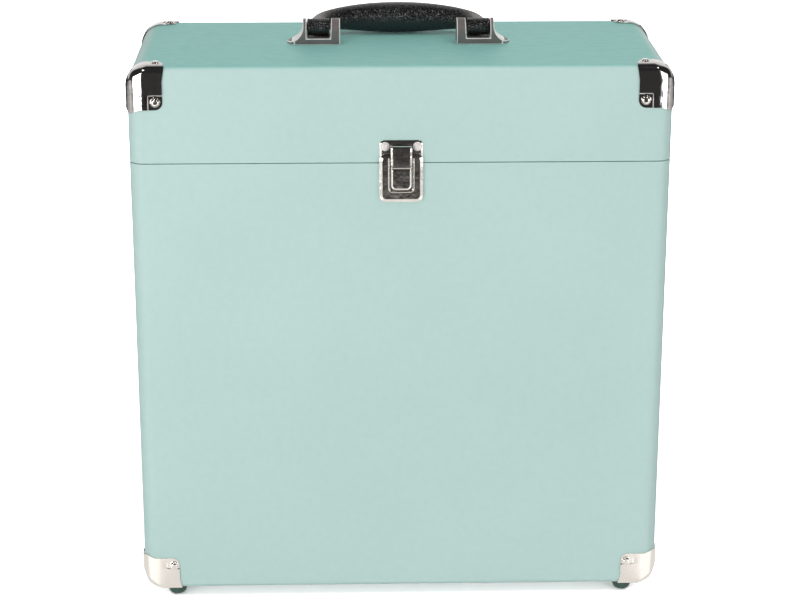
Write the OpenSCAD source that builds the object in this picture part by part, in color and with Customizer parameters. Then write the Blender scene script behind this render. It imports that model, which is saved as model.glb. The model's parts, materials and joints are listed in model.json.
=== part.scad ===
// Record carrying case: a covered board box with a hinged lid, a draw latch,
// metal corners, rubber feet and a folding grip on the lid.
// Millimetres, +Z up. The origin is on the floor, under the middle of the case.
// The latch is at the front (-Y), the hinges are at the back (+Y), and +X is to the right.

/* [Case] */
// Outside width of the covered box
case_w = 355; // [345:1:380]
// Outside depth of the covered box, front to back
case_d = 150; // [120:1:180]
// Outside height of the covered box, without feet and handle
case_h = 368; // [350:1:390]
// Height of the lid, from the seam to the top
lid_h = 64.2; // [50:0.1:90]
// Radius of the four long edges that run front to back
side_edge_r = 14; // [10:0.5:18]
// Radius of the four upright edges
upright_edge_r = 10; // [8:0.5:12]
// Radius of the edges that run left to right
long_edge_r = 4; // [3:0.5:5]
// Open gap at the seam between body and lid
seam_gap = 0.8; // [0.4:0.1:1.2]

/* [Walls] */
// Thickness of the leathercloth cover
cover_t = 1; // [0.8:0.1:1.2]
// Thickness of the front and back boards
face_board_t = 5; // [4:0.5:6]
// Thickness of the side, base and top boards
side_board_t = 7; // [6:0.5:8]
// Thickness of the inner lining
lining_t = 0.6; // [0.4:0.1:1]

/* [Feet] */
// Height of a rubber foot below the case
foot_h = 9; // [7:0.5:12]
// Width of a rubber foot where it meets the case
foot_w = 13; // [12:0.5:16]
// Distance from the side of the case to the middle of a foot
foot_in_x = 22; // [20:0.5:26]
// Distance from the front or back to the middle of a foot
foot_in_y = 12.5; // [11:0.5:20]

/* [Corners] */
// Thickness of the sheet metal in corners
corner_t = 1.1; // [0.8:0.1:1.4]
// Width of a top corner's flange on the front
top_corner_w = 23.4; // [20:0.1:26]
// Height of a top corner's flange on the front
top_corner_h = 28.2; // [24:0.1:30]
// Width of a bottom corner's flange on the front
bottom_corner_w = 24.6; // [22:0.1:28]
// Height of a bottom corner's flange on the front
bottom_corner_h = 23; // [20:0.1:28]
// Depth of every corner's wrap round the side, top or bottom
corner_d = 14; // [13:0.5:17]

/* [Handle] */
// Distance between the middles of the two grip barrels
barrel_span = 108; // [100:1:130]
// Height of the grip's pivot above the lid
pivot_h = 10.8; // [10:0.1:13]
// Reach of the grip from its pivot
grip_reach = 33.5; // [30:0.5:45]
// Radius of the grip at its middle
grip_r = 10.4; // [8:0.1:10.4]
// Radius of the grip's arms
arm_r = 5.6; // [5:0.1:5.8]

/* [Latch] */
// Width of the latch plate on the body
latch_w = 28.6; // [26:0.1:32]
// Drop of the latch plate below the seam
latch_drop = 26; // [24:0.5:30]
// Rise of the latch plate above the seam
latch_rise = 6.6; // [5:0.1:7]
// Width of the lever
lever_w = 13.4; // [12:0.1:14]
// Rise of the strike plate above the seam
strike_rise = 15.4; // [14:0.1:18]

/* [Hinges] */
// Width of a hinge
hinge_w = 38; // [30:1:50]
// Height of one hinge leaf
hinge_leaf_h = 22; // [18:1:26]
// Distance from the middle of the case to the middle of a hinge
hinge_x = 95; // [60:1:120]

/* [Hidden] */
$fn = 48;

// Colours
leathercloth = [0.70, 0.82, 0.80];
bare_board = [0.76, 0.62, 0.44];
lining_cloth = [0.24, 0.27, 0.27];
nickel = [0.80, 0.78, 0.75];
dark_chrome = [0.62, 0.62, 0.64];
satin_metal = [0.50, 0.48, 0.48];
grip_black = [0.12, 0.12, 0.12];
foot_green = [0.17, 0.29, 0.26];

// Heights of the box
z_floor = foot_h;
z_top = foot_h + case_h;
z_mid = foot_h + case_h / 2;
z_seam = z_top - lid_h;
z_rim_body = z_seam - seam_gap / 2;
z_rim_lid = z_seam + seam_gap / 2;
far = 1000;
through = 20;
past = 1;

// Inner faces of the boards
board_in_x = case_w / 2 - cover_t - side_board_t;
board_in_y = case_d / 2 - cover_t - face_board_t;
board_in_floor = z_floor + cover_t + side_board_t;
board_in_top = z_top - cover_t - side_board_t;

// Rivets
shank_r = 1.4;
shank_len = 5;
small_head_r = 3;
small_head_h = 1.3;
corner_head_r = 3.3;
corner_head_h = 1.5;
flat_head_r = 2.6;
flat_head_h = 0.9;
head_sides = 64;

// Where the rivets sit on the corners, from the case's side, top or bottom
top_rivet_x = 18.8;
top_rivet_z = 22.9;
bottom_rivet_x = 20.8;
bottom_rivet_z = 17.4;
flat_rivet_x = 19;
flat_rivet_y = 8.6;

// The outlines of the corners' flanges
face_round = 5;
flat_round = 9;
flange_flare = 1.5;
top_edge_rise = 3.6;
bottom_edge_rise = 2.4;
flange_steps = 8;
cap_reach = 40;

// Feet
foot_least_side = 2;
foot_flat_r = 1.5;
foot_round = min(foot_w / 2 - foot_flat_r, foot_h - foot_least_side);
foot_nail_r = 1.3;
foot_nail_in = 3;

// Latch: depths are measured outwards from the front of the case
latch_sheet = 1;
latch_gap = 1.6;
latch_face = latch_gap + latch_sheet;
latch_corner_r = 4.4;
strike_t = 1.2;
strike_half_w = 14.1;
strike_corner_r = 3;
strike_rivet_x = 10.65;
strike_rivet_z = 11.3;
lip_half_w = 5.4;
lip_low = 8.6;
lip_high = 9.9;
lip_reach = 4.6;
rim_half_w = 8.6;
rim_wall = 1.2;
rim_low = -19;
rim_high = 4.3;
rim_reach = 5.2;
rim_corner_r = 3;
pivot_z = 2.5;
pivot_depth = 3.9;
pivot_r = 0.7;
plate_in = 5.2;
plate_out = 6;
lever_low = -17.1;
lever_high = -2.9;
lever_corner_r = 3.2;
flange_t = 0.9;
flange_in = 3;
flange_end_r = 1.1;
hasp_pivot_z = -1.7;
hasp_pivot_depth = 5.5;
hasp_bead_r = 0.9;
hasp_pin_r = 0.45;
running = 0.05;
hasp_low = -0.5;
hasp_bend_z = 10.6;
hasp_curl_r = 1.7;
hasp_nose = 3.1;
hasp_top_half_w = 7;
side_play = 0.15;
plate_rivet_x = 3;
plate_rivet_z = -12;
plate_head_h = 0.6;

// Hinges
leaf_t = 1.2;
knuckle_r = 2.2;
hinge_axis_out = 2.5;
hinge_pin_r = 1.1;
middle_knuckle = 12;
knuckle_play = 0.2;
leaf_notch = 2.7;
leaf_corner_r = 3;
hinge_rivet_x = 12.5;
hinge_rivet_z = 13;

// Handle
barrel_r = 5.8;
barrel_w = 14.2;
handle_pin_r = 2;
bracket_depth = 17;
bracket_in_x = 39.2;
bracket_flat_x = 70;
bracket_tip_x = 75;
bracket_ear_h = 16.6;
bracket_floor = 4.4;
ear_in_w = 6.6;
ear_out_w = 2.6;
ear_draft = 0.6;
ear_drop = 0.4;
saddle_room = 0.6;
flare_drop = 2;
flare_steps = 8;
tip_t = 1.8;
tip_half_w = 1.2;
shoulder_in_x = 2.6;
shoulder_in_y = 2.2;
handle_pin_short = 0.2;
handle_pin_in = bracket_in_x - past;
handle_pin_out = (barrel_span + barrel_w) / 2 + saddle_room + ear_out_w - handle_pin_short;
screw_r = 1.6;
screw_head_r = 3.4;
screw_head_h = 2.2;
screw_in = 4;
screw_xs = [42.6, 66];
grip_rings = 40;
grip_sides = 20;
grip_square = 3.2;

// A rectangle about the origin with four round corners
module rounded_rect(w, h, r) {
    difference() {
        square([w, h], center = true);
        for (sx = [-1, 1]) for (sy = [-1, 1])
            translate([sx * (w / 2 - r), sy * (h / 2 - r)])
                difference() {
                    translate([sx * r / 2 + sx * past / 2, sy * r / 2 + sy * past / 2])
                        square([r + past, r + past], center = true);
                    circle(r = r);
                }
    }
}

// Turns a drawing in X and Z so that it is pushed along Y, with the middle at Y = 0
module along_y(length) {
    rotate([90, 0, 0])
        linear_extrude(height = length, center = true) children();
}

// Turns a drawing whose first axis is Y and second is Z so that it is pushed along X
module along_x(length) {
    rotate([90, 0, 90])
        linear_extrude(height = length, center = true) children();
}

// The outside of the whole box, grown outwards by grow, or inwards when it is negative
module box_form(grow) {
    w = case_w + 2 * grow;
    d = case_d + 2 * grow;
    h = case_h + 2 * grow;
    translate([0, 0, z_mid]) intersection() {
        along_y(d) rounded_rect(w, h, side_edge_r + grow);
        linear_extrude(height = h, center = true) rounded_rect(w, d, upright_edge_r + grow);
        along_x(w) rounded_rect(d, h, long_edge_r + grow);
    }
}

// A block that fills everything between two heights
module slab(low, high) {
    translate([-far / 2, -far / 2, low]) cube([far, far, high - low]);
}

// The straight-sided hollow inside the boards, smaller all round by inset
module hollow(inset) {
    w = 2 * (board_in_x - inset);
    d = 2 * (board_in_y - inset);
    low = board_in_floor + inset;
    high = board_in_top - inset;
    translate([-w / 2, -d / 2, low]) cube([w, d, high - low]);
}

// Places a child on a face of the case, with the child's +Z pointing outwards
module on_front_or_back(side, x, z) {
    translate([x, side * case_d / 2, z]) rotate([-90 * side, 0, 0]) children();
}
module on_top(x, y) {
    translate([x, y, z_top]) children();
}
module on_base(x, y) {
    translate([x, y, z_floor]) rotate([180, 0, 0]) children();
}

// A round-headed rivet whose head starts at Z = 0 and whose shank goes down
module rivet(head_r, head_h, length) {
    ball_r = (head_r * head_r + head_h * head_h) / (2 * head_h);
    intersection() {
        translate([0, 0, head_h - ball_r]) sphere(r = ball_r, $fn = head_sides);
        cylinder(r = head_r, h = head_h);
    }
    translate([0, 0, -length]) cylinder(r = shank_r, h = length + head_h / 4);
}

// The hole that a rivet's shank fills
module shank_hole() {
    translate([0, 0, -shank_len - cover_t]) cylinder(r = shank_r, h = through);
}

module top_corner_rivet_sites() {
    for (sx = [-1, 1]) for (sy = [-1, 1]) {
        on_front_or_back(sy, sx * (case_w / 2 - top_rivet_x), z_top - top_rivet_z) children();
        on_top(sx * (case_w / 2 - flat_rivet_x), sy * (case_d / 2 - flat_rivet_y)) children();
    }
}

module bottom_corner_rivet_sites() {
    for (sx = [-1, 1]) for (sy = [-1, 1])
        on_front_or_back(sy, sx * (case_w / 2 - bottom_rivet_x), z_floor + bottom_rivet_z) children();
}

module foot_sites() {
    for (sx = [-1, 1]) for (sy = [-1, 1])
        on_base(sx * (case_w / 2 - foot_in_x), sy * (case_d / 2 - foot_in_y)) children();
}

module strike_rivet_sites() {
    for (sx = [-1, 1])
        on_front_or_back(-1, sx * strike_rivet_x, z_seam + strike_rivet_z) children();
}

module plate_rivet_sites() {
    for (sx = [-1, 1])
        on_front_or_back(-1, sx * plate_rivet_x, z_seam + plate_rivet_z) children();
}

module hinge_rivet_sites(up) {
    for (sx = [-1, 1]) for (dx = [-1, 1])
        on_front_or_back(1, sx * hinge_x + dx * hinge_rivet_x, z_seam + up * hinge_rivet_z) children();
}

module handle_screw_sites() {
    for (sx = [-1, 1]) for (x = screw_xs)
        on_top(sx * x, 0) children();
}

// All the holes through the body's boards and cover
module body_holes() {
    bottom_corner_rivet_sites() shank_hole();
    plate_rivet_sites() shank_hole();
    hinge_rivet_sites(-1) shank_hole();
    foot_sites() foot_nail_hole();
}

// All the holes through the lid's boards and cover
module lid_holes() {
    top_corner_rivet_sites() shank_hole();
    strike_rivet_sites() shank_hole();
    hinge_rivet_sites(1) shank_hole();
    handle_screw_sites() screw_hole();
}

// Body: the boards
module body_core() {
    intersection() {
        box_form(-cover_t);
        slab(0, z_rim_body - cover_t);
    }
}

module body_face_board(side) {
    color(bare_board) difference() {
        intersection() {
            body_core();
            translate([0, side * (board_in_y + far / 2), z_mid]) cube([far, far, far], center = true);
        }
        body_holes();
    }
}

module body_side_board(side) {
    color(bare_board) difference() {
        intersection() {
            body_core();
            translate([side * (board_in_x + far / 2), 0, z_mid])
                cube([far, 2 * board_in_y, far], center = true);
            slab(board_in_floor, z_seam);
        }
        body_holes();
    }
}

module body_front_board() { body_face_board(-1); }
module body_back_board() { body_face_board(1); }
module body_left_board() { body_side_board(-1); }
module body_right_board() { body_side_board(1); }

module body_base_board() {
    color(bare_board) difference() {
        intersection() {
            body_core();
            translate([0, 0, z_mid]) cube([far, 2 * board_in_y, far], center = true);
            slab(0, board_in_floor);
        }
        body_holes();
    }
}

// Body: the leathercloth, turned in over the rim
module body_cover() {
    color(leathercloth) difference() {
        intersection() {
            box_form(0);
            slab(0, z_rim_body);
        }
        body_core();
        hollow(0);
        body_holes();
    }
}

module body_lining() {
    color(lining_cloth) intersection() {
        difference() {
            hollow(0);
            hollow(lining_t);
        }
        slab(0, z_rim_body);
    }
}

// Lid: the boards
module lid_core() {
    intersection() {
        box_form(-cover_t);
        slab(z_rim_lid + cover_t, far);
    }
}

module lid_face_board(side) {
    color(bare_board) difference() {
        intersection() {
            lid_core();
            translate([0, side * (board_in_y + far / 2), z_mid]) cube([far, far, far], center = true);
        }
        lid_holes();
    }
}

module lid_side_board(side) {
    color(bare_board) difference() {
        intersection() {
            lid_core();
            translate([side * (board_in_x + far / 2), 0, z_mid])
                cube([far, 2 * board_in_y, far], center = true);
            slab(z_seam, board_in_top);
        }
        lid_holes();
    }
}

module lid_front_board() { lid_face_board(-1); }
module lid_back_board() { lid_face_board(1); }
module lid_left_board() { lid_side_board(-1); }
module lid_right_board() { lid_side_board(1); }

module lid_top_board() {
    color(bare_board) difference() {
        intersection() {
            lid_core();
            translate([0, 0, z_mid]) cube([far, 2 * board_in_y, far], center = true);
            slab(board_in_top, far);
        }
        lid_holes();
    }
}

module lid_cover() {
    color(leathercloth) difference() {
        intersection() {
            box_form(0);
            slab(z_rim_lid, far);
        }
        lid_core();
        hollow(0);
        lid_holes();
    }
}

module lid_lining() {
    color(lining_cloth) intersection() {
        difference() {
            hollow(0);
            hollow(lining_t);
        }
        slab(z_rim_lid, far);
    }
}

// Points along an arc, from one angle to another
function arc_points(cx, cy, r, from, to, steps) =
    [for (i = [0:steps]) let (a = from + (to - from) * i / steps) [cx + r * cos(a), cy + r * sin(a)]];

// The outline of a corner's flange: insets from the two edges, with a round inner corner
// that leaves room for the rivet, and more reach where it meets the two edges
module flange_outline(w, h, r, rise) {
    out = -2 * corner_t;
    polygon(concat(
        [[out, out], [w + flange_flare, out], [w + flange_flare, 0], [w, h / 3]],
        arc_points(w - r, h - r, r, 0, 90, flange_steps),
        [[w / 3, h + rise / 3], [0, h + rise], [out, h + rise]]));
}

// One corner, made at the right, back and top of the box and mirrored into place: the part
// of a shell round the box that lies inside the outlines of all three flanges
module corner_cap(sx, sy, up, w, h, rise) {
    length = cap_reach + 2 * corner_t;
    translate([0, 0, z_mid])
        mirror([sx < 0 ? 1 : 0, 0, 0]) mirror([0, sy < 0 ? 1 : 0, 0]) mirror([0, 0, up < 0 ? 1 : 0])
            translate([case_w / 2, case_d / 2, case_h / 2]) intersection() {
                translate([-case_w / 2, -case_d / 2, -z_top]) difference() {
                    box_form(corner_t);
                    box_form(0);
                }
                // The outline on the front or back
                translate([0, 2 * corner_t, 0]) rotate([90, 0, 0])
                    linear_extrude(height = length)
                        rotate(180) flange_outline(w, h, face_round, rise);
                // The outline on the side
                translate([-cap_reach, 0, 0]) rotate([90, 0, 90])
                    linear_extrude(height = length)
                        rotate(180) flange_outline(corner_d, h, face_round, rise);
                // The outline on the top or bottom
                translate([0, 0, -cap_reach])
                    linear_extrude(height = length)
                        rotate(180) flange_outline(w, corner_d, flat_round, flange_flare);
            }
}

module top_corner(sx, sy) {
    color(dark_chrome) difference() {
        corner_cap(sx, sy, 1, top_corner_w, top_corner_h, top_edge_rise);
        top_corner_rivet_sites() shank_hole();
    }
}

module bottom_corner(sx, sy) {
    color(nickel) difference() {
        corner_cap(sx, sy, -1, bottom_corner_w, bottom_corner_h, bottom_edge_rise);
        bottom_corner_rivet_sites() shank_hole();
        foot_sites() translate([0, 0, -past]) cylinder(r = foot_w / 2 + side_play, h = through);
    }
}

module corner_top_front_left() { top_corner(-1, -1); }
module corner_top_front_right() { top_corner(1, -1); }
module corner_top_back_left() { top_corner(-1, 1); }
module corner_top_back_right() { top_corner(1, 1); }
module corner_bottom_front_left() { bottom_corner(-1, -1); }
module corner_bottom_front_right() { bottom_corner(1, -1); }
module corner_bottom_back_left() { bottom_corner(-1, 1); }
module corner_bottom_back_right() { bottom_corner(1, 1); }

module top_corner_rivets() {
    color(nickel) top_corner_rivet_sites()
        translate([0, 0, corner_t]) rivet(corner_head_r, corner_head_h, shank_len + corner_t);
}

module bottom_corner_rivets() {
    color(nickel) bottom_corner_rivet_sites()
        translate([0, 0, corner_t]) rivet(corner_head_r, corner_head_h, shank_len + corner_t);
}

// Feet: rubber domes with a flat underside, moulded on a nail
module foot_nail_hole() {
    translate([0, 0, -cover_t - shank_len]) cylinder(r = foot_nail_r, h = through);
}

module foot_nail() {
    translate([0, 0, -cover_t - shank_len])
        cylinder(r = foot_nail_r, h = cover_t + shank_len + foot_h - foot_nail_in);
}

module foot(sx, sy) {
    side = foot_h - foot_round;
    color(foot_green) on_base(sx * (case_w / 2 - foot_in_x), sy * (case_d / 2 - foot_in_y))
        difference() {
            rotate_extrude() union() {
                square([foot_w / 2, side]);
                square([foot_w / 2 - foot_round, foot_h]);
                intersection() {
                    translate([foot_w / 2 - foot_round, side]) circle(r = foot_round);
                    square([foot_w / 2, foot_h]);
                }
            }
            translate([0, 0, -past]) cylinder(r = foot_nail_r, h = past + foot_h - foot_nail_in);
        }
}

module foot_front_left() { foot(-1, -1); }
module foot_front_right() { foot(1, -1); }
module foot_back_left() { foot(-1, 1); }
module foot_back_right() { foot(1, 1); }

module foot_nails() {
    color(nickel) foot_sites() foot_nail();
}

// Latch: a drawing in depth (outwards from the front) and height above the seam,
// pushed along X between two widths
module latch_profile(half_w) {
    translate([0, -case_d / 2, z_seam]) mirror([0, 1, 0]) along_x(2 * half_w) children();
}

// Latch: a drawing in X and height above the seam, pushed outwards between two depths
module latch_face_form(near_depth, far_depth) {
    translate([0, -case_d / 2 - near_depth, z_seam]) rotate([90, 0, 0])
        linear_extrude(height = far_depth - near_depth) children();
}

module latch_pin(r, from_x, to_x, depth, z) {
    translate([from_x, -case_d / 2 - depth, z_seam + z]) rotate([0, 90, 0])
        cylinder(r = r, h = to_x - from_x);
}

module latch_plate_outline(inset) {
    h = latch_rise + latch_drop;
    translate([0, latch_rise - h / 2])
        rounded_rect(latch_w - 2 * inset, h - 2 * inset, latch_corner_r - inset);
}

module rim_outline(half_w, low) {
    h = rim_high - low + rim_corner_r;
    translate([0, low + h / 2]) rounded_rect(2 * half_w, h, rim_corner_r);
}

module latch_plate() {
    color(nickel) difference() {
        union() {
            // The pressed tray: a front sheet and, below the seam, its turned-back edge
            latch_face_form(latch_gap, latch_face) latch_plate_outline(0);
            latch_face_form(0, latch_face) difference() {
                latch_plate_outline(0);
                latch_plate_outline(latch_sheet);
                translate([-latch_w, -seam_gap / 2]) square([2 * latch_w, far]);
            }
            // The raised rim round the lever
            latch_face_form(latch_gap, rim_reach) difference() {
                rim_outline(rim_half_w, rim_low);
                rim_outline(rim_half_w - rim_wall, rim_low + rim_wall);
                translate([-latch_w, rim_high]) square([2 * latch_w, far]);
            }
            // Bosses that carry the plate on the board where the rivets draw it down
            for (sx = [-1, 1])
                latch_face_form(0, latch_gap + latch_sheet / 2)
                    translate([sx * plate_rivet_x, plate_rivet_z]) circle(r = flat_head_r);
        }
        plate_rivet_sites() shank_hole();
        latch_pin(pivot_r, -rim_half_w - past, rim_half_w + past, pivot_depth, pivot_z);
    }
}

// The two stub pins in the rim, on which the lever turns
module latch_pivot_pins() {
    color(nickel) for (sx = [-1, 1]) {
        inner = sx * (lever_w / 2 - flange_t);
        outer = sx * rim_half_w;
        latch_pin(pivot_r, min(inner, outer), max(inner, outer), pivot_depth, pivot_z);
    }
}

module latch_plate_rivets() {
    color(nickel) plate_rivet_sites() translate([0, 0, latch_face])
        rivet(flat_head_r - side_play, plate_head_h, shank_len + latch_face);
}

module lever_outline() {
    h = lever_high - lever_low + lever_corner_r;
    intersection() {
        translate([0, lever_low + h / 2]) rounded_rect(lever_w, h, lever_corner_r);
        translate([-latch_w, -far + lever_high]) square([2 * latch_w, far]);
    }
}

module latch_lever() {
    flange_low = lever_low + lever_corner_r;
    color(nickel) difference() {
        union() {
            latch_face_form(plate_in, plate_out) lever_outline();
            for (sx = [-1, 1]) translate([sx * (lever_w - flange_t) / 2, 0, 0])
                latch_profile(flange_t / 2) {
                    // Along the plate, up to the hasp's pin, and on to the pivot behind it
                    translate([flange_in, flange_low])
                        square([plate_in - flange_in + latch_sheet / 2, lever_high - flange_low]);
                    translate([flange_in, lever_high - past])
                        square([hasp_pivot_depth - flange_in, past + hasp_pivot_z - lever_high]);
                    translate([hasp_pivot_depth, hasp_pivot_z]) circle(r = hasp_bead_r);
                    translate([flange_in, hasp_pivot_z - past])
                        square([2 * (pivot_depth - flange_in), pivot_z - hasp_pivot_z + past]);
                    translate([pivot_depth, pivot_z]) circle(r = flange_end_r);
                }
        }
        latch_pin(pivot_r + running, -lever_w, lever_w, pivot_depth, pivot_z);
        latch_pin(hasp_pin_r, -lever_w, lever_w, hasp_pivot_depth, hasp_pivot_z);
    }
}

module latch_hasp_pin() {
    color(nickel)
        latch_pin(hasp_pin_r, -lever_w / 2, lever_w / 2, hasp_pivot_depth, hasp_pivot_z);
}

module latch_hasp() {
    bead_half_w = lever_w / 2 - flange_t - side_play;
    curl_mid = plate_out - hasp_curl_r;
    sheet = plate_out - plate_in;
    color(nickel) difference() {
        union() {
            // The front plate, a little wider towards its top
            latch_face_form(plate_in, plate_out) polygon([
                [-lever_w / 2, hasp_low], [lever_w / 2, hasp_low],
                [hasp_top_half_w, hasp_bend_z], [-hasp_top_half_w, hasp_bend_z]]);
            // The rolled bead round the pin
            latch_profile(bead_half_w) {
                translate([hasp_pivot_depth, hasp_pivot_z]) circle(r = hasp_bead_r);
                translate([plate_in, hasp_pivot_z]) square([sheet, hasp_low - hasp_pivot_z + past]);
            }
            // The end, curled back over the strike's lip
            latch_profile(hasp_top_half_w) {
                intersection() {
                    difference() {
                        translate([curl_mid, hasp_bend_z]) circle(r = hasp_curl_r);
                        translate([curl_mid, hasp_bend_z]) circle(r = hasp_curl_r - sheet);
                    }
                    translate([curl_mid, hasp_bend_z]) square([far, far]);
                }
                translate([hasp_nose, hasp_bend_z + hasp_curl_r - sheet])
                    square([curl_mid - hasp_nose, sheet]);
            }
        }
        latch_pin(hasp_pin_r + running, -lever_w, lever_w, hasp_pivot_depth, hasp_pivot_z);
    }
}

// The strike on the lid, with the lip that the hasp pulls on
module strike_plate() {
    h = strike_rise - seam_gap / 2 + strike_corner_r;
    color(nickel) difference() {
        union() {
            latch_face_form(0, strike_t) intersection() {
                translate([0, strike_rise - h / 2])
                    rounded_rect(2 * strike_half_w, h, strike_corner_r);
                translate([-latch_w, seam_gap / 2]) square([2 * latch_w, far]);
            }
            latch_profile(lip_half_w)
                translate([strike_t / 2, lip_low]) square([lip_reach - strike_t / 2, lip_high - lip_low]);
        }
        strike_rivet_sites() shank_hole();
    }
}

module strike_rivets() {
    color(nickel) strike_rivet_sites()
        translate([0, 0, strike_t]) rivet(small_head_r, small_head_h, shank_len + strike_t);
}

// Hinges: a barrel piece along X about the hinge axis
module hinge_barrel(r, from_x, to_x) {
    translate([from_x, case_d / 2 + hinge_axis_out, z_seam]) rotate([0, 90, 0])
        cylinder(r = r, h = to_x - from_x);
}

// The barrel pieces of a leaf: the two outer ones go down with the body, the middle one
// goes up with the lid
module leaf_barrels(r, up, play) {
    if (up > 0)
        hinge_barrel(r, -middle_knuckle / 2 + play, middle_knuckle / 2 - play);
    else for (sx = [-1, 1]) {
        near = sx * middle_knuckle / 2;
        end = sx * hinge_w / 2;
        hinge_barrel(r, min(near, end), max(near, end));
    }
}

// The notches in a leaf's edge, in which the other leaf's barrel pieces turn
module leaf_notches(up) {
    outer_w = (hinge_w - middle_knuckle) / 2 + 2 * knuckle_play;
    if (up > 0) for (sx = [-1, 1])
        translate([sx * (hinge_w + middle_knuckle) / 4, -hinge_leaf_h / 2])
            square([outer_w, 2 * leaf_notch], center = true);
    else
        translate([0, hinge_leaf_h / 2])
            square([middle_knuckle, 2 * leaf_notch], center = true);
}

module hinge_leaf(side, up) {
    bore_r = up > 0 ? hinge_pin_r + running : hinge_pin_r;
    color(nickel) difference() {
        translate([side * hinge_x, 0, 0]) difference() {
            union() {
                leaf_barrels(knuckle_r, up, knuckle_play);
                // The flat leaf on the back of the case
                translate([0, case_d / 2 + leaf_t / 2, z_seam + up * hinge_leaf_h / 2])
                    rotate([90, 0, 0]) linear_extrude(height = leaf_t, center = true)
                        difference() {
                            rounded_rect(hinge_w, hinge_leaf_h, leaf_corner_r);
                            leaf_notches(up);
                        }
            }
            hinge_barrel(bore_r, -hinge_w, hinge_w);
        }
        hinge_rivet_sites(up) shank_hole();
    }
}

module hinge_left_lower_leaf() { hinge_leaf(-1, -1); }
module hinge_right_lower_leaf() { hinge_leaf(1, -1); }
module hinge_left_upper_leaf() { hinge_leaf(-1, 1); }
module hinge_right_upper_leaf() { hinge_leaf(1, 1); }

module hinge_pins() {
    color(nickel) for (side = [-1, 1]) translate([side * hinge_x, 0, 0])
        hinge_barrel(hinge_pin_r, -hinge_w / 2, hinge_w / 2);
}

module hinge_rivets(up) {
    color(nickel) hinge_rivet_sites(up)
        translate([0, 0, leaf_t]) rivet(flat_head_r, flat_head_h, shank_len + leaf_t);
}

module hinge_body_rivets() { hinge_rivets(-1); }
module hinge_lid_rivets() { hinge_rivets(1); }

// Handle: a cylinder along X about the grip's pivot
module pivot_cylinder(r, from_x, to_x) {
    translate([from_x, 0, z_top + pivot_h]) rotate([0, 90, 0]) cylinder(r = r, h = to_x - from_x);
}

// The hole for a handle screw: a shank up through the lid and a pocket for its head
module screw_hole() {
    translate([0, 0, -side_board_t - cover_t - past])
        cylinder(r = screw_r, h = side_board_t + cover_t + past + screw_in);
    translate([0, 0, -side_board_t - cover_t - past])
        cylinder(r = screw_head_r, h = screw_head_h + past);
}

// The front outline of a bracket: two ears with a saddle between, and a drawn-out foot
module bracket_outline() {
    saddle_in = bracket_in_x + ear_in_w;
    saddle_out = (barrel_span + barrel_w) / 2 + saddle_room;
    ear_out = saddle_out + ear_out_w;
    flare_r = bracket_tip_x - ear_out;
    flare_z = bracket_ear_h - flare_drop;
    polygon(concat(
        [[bracket_in_x, 0], [bracket_in_x, bracket_ear_h], [saddle_in - ear_draft, bracket_ear_h],
         [saddle_in, bracket_floor], [saddle_out, bracket_floor],
         [saddle_out, bracket_ear_h - ear_drop], [ear_out - ear_draft, bracket_ear_h]],
        [for (i = [0:flare_steps]) let (a = 180 + 90 * i / flare_steps)
            [bracket_tip_x + flare_r * cos(a), flare_z + (flare_z - tip_t) * sin(a)]],
        [[bracket_tip_x, 0]]));
}

// The plan of a bracket: straight inner end, pointed outer end
module bracket_plan() {
    half = bracket_depth / 2;
    shoulder_x = bracket_flat_x + shoulder_in_x;
    shoulder_y = half - shoulder_in_y;
    polygon([[bracket_in_x - past, -half], [bracket_flat_x, -half],
        [shoulder_x, -shoulder_y], [bracket_tip_x, -tip_half_w], [bracket_tip_x, tip_half_w],
        [shoulder_x, shoulder_y], [bracket_flat_x, half], [bracket_in_x - past, half]]);
}

module handle_bracket(side) {
    color(satin_metal) difference() {
        mirror([side < 0 ? 1 : 0, 0, 0]) translate([0, 0, z_top]) intersection() {
            along_y(bracket_depth) bracket_outline();
            linear_extrude(height = bracket_ear_h) bracket_plan();
            // The ears are round over the pivot, seen from the side
            along_x(far) union() {
                translate([0, bracket_ear_h / 4]) square([far, bracket_ear_h / 2], center = true);
                translate([0, bracket_ear_h - bracket_depth / 2]) circle(r = bracket_depth / 2);
            }
        }
        pivot_cylinder(handle_pin_r, min(side * handle_pin_in, side * handle_pin_out),
            max(side * handle_pin_in, side * handle_pin_out));
        handle_screw_sites() screw_hole();
    }
}

module handle_bracket_left() { handle_bracket(-1); }
module handle_bracket_right() { handle_bracket(1); }

module handle_pins() {
    color(nickel) for (side = [-1, 1])
        pivot_cylinder(handle_pin_r, min(side * bracket_in_x, side * handle_pin_out),
            max(side * bracket_in_x, side * handle_pin_out));
}

module handle_screws() {
    under = -side_board_t - cover_t;
    color(nickel) handle_screw_sites() {
        translate([0, 0, under]) cylinder(r = screw_r, h = -under + screw_in);
        translate([0, 0, under]) cylinder(r = screw_head_r, h = screw_head_h);
    }
}

// The middle line of the grip, a squared half loop in the lid's plane, and its radius
function grip_point(a) = [
    sign(cos(a)) * barrel_span / 2 * pow(abs(cos(a)), 2 / grip_square),
    grip_reach * pow(sin(a), 2 / grip_square)];
function grip_radius(x) = arm_r + (grip_r - arm_r) * cos(90 * min(1, abs(x) / (barrel_span / 2)));
function grip_turn(i) = 180 * i / grip_rings;
function grip_along(i) =
    let (a = grip_point(grip_turn(max(0, i - 0.5))), b = grip_point(grip_turn(min(grip_rings, i + 0.5))))
    (b - a) / norm(b - a);
function grip_ring(i) =
    let (p = grip_point(grip_turn(i)), t = i == 0 ? [0, 1] : i == grip_rings ? [0, -1] : grip_along(i),
        r = grip_radius(p[0]))
    [for (k = [0:grip_sides - 1]) let (a = 360 * k / grip_sides)
        [p[0] - t[1] * r * cos(a), p[1] + t[0] * r * cos(a), r * sin(a)]];

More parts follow.
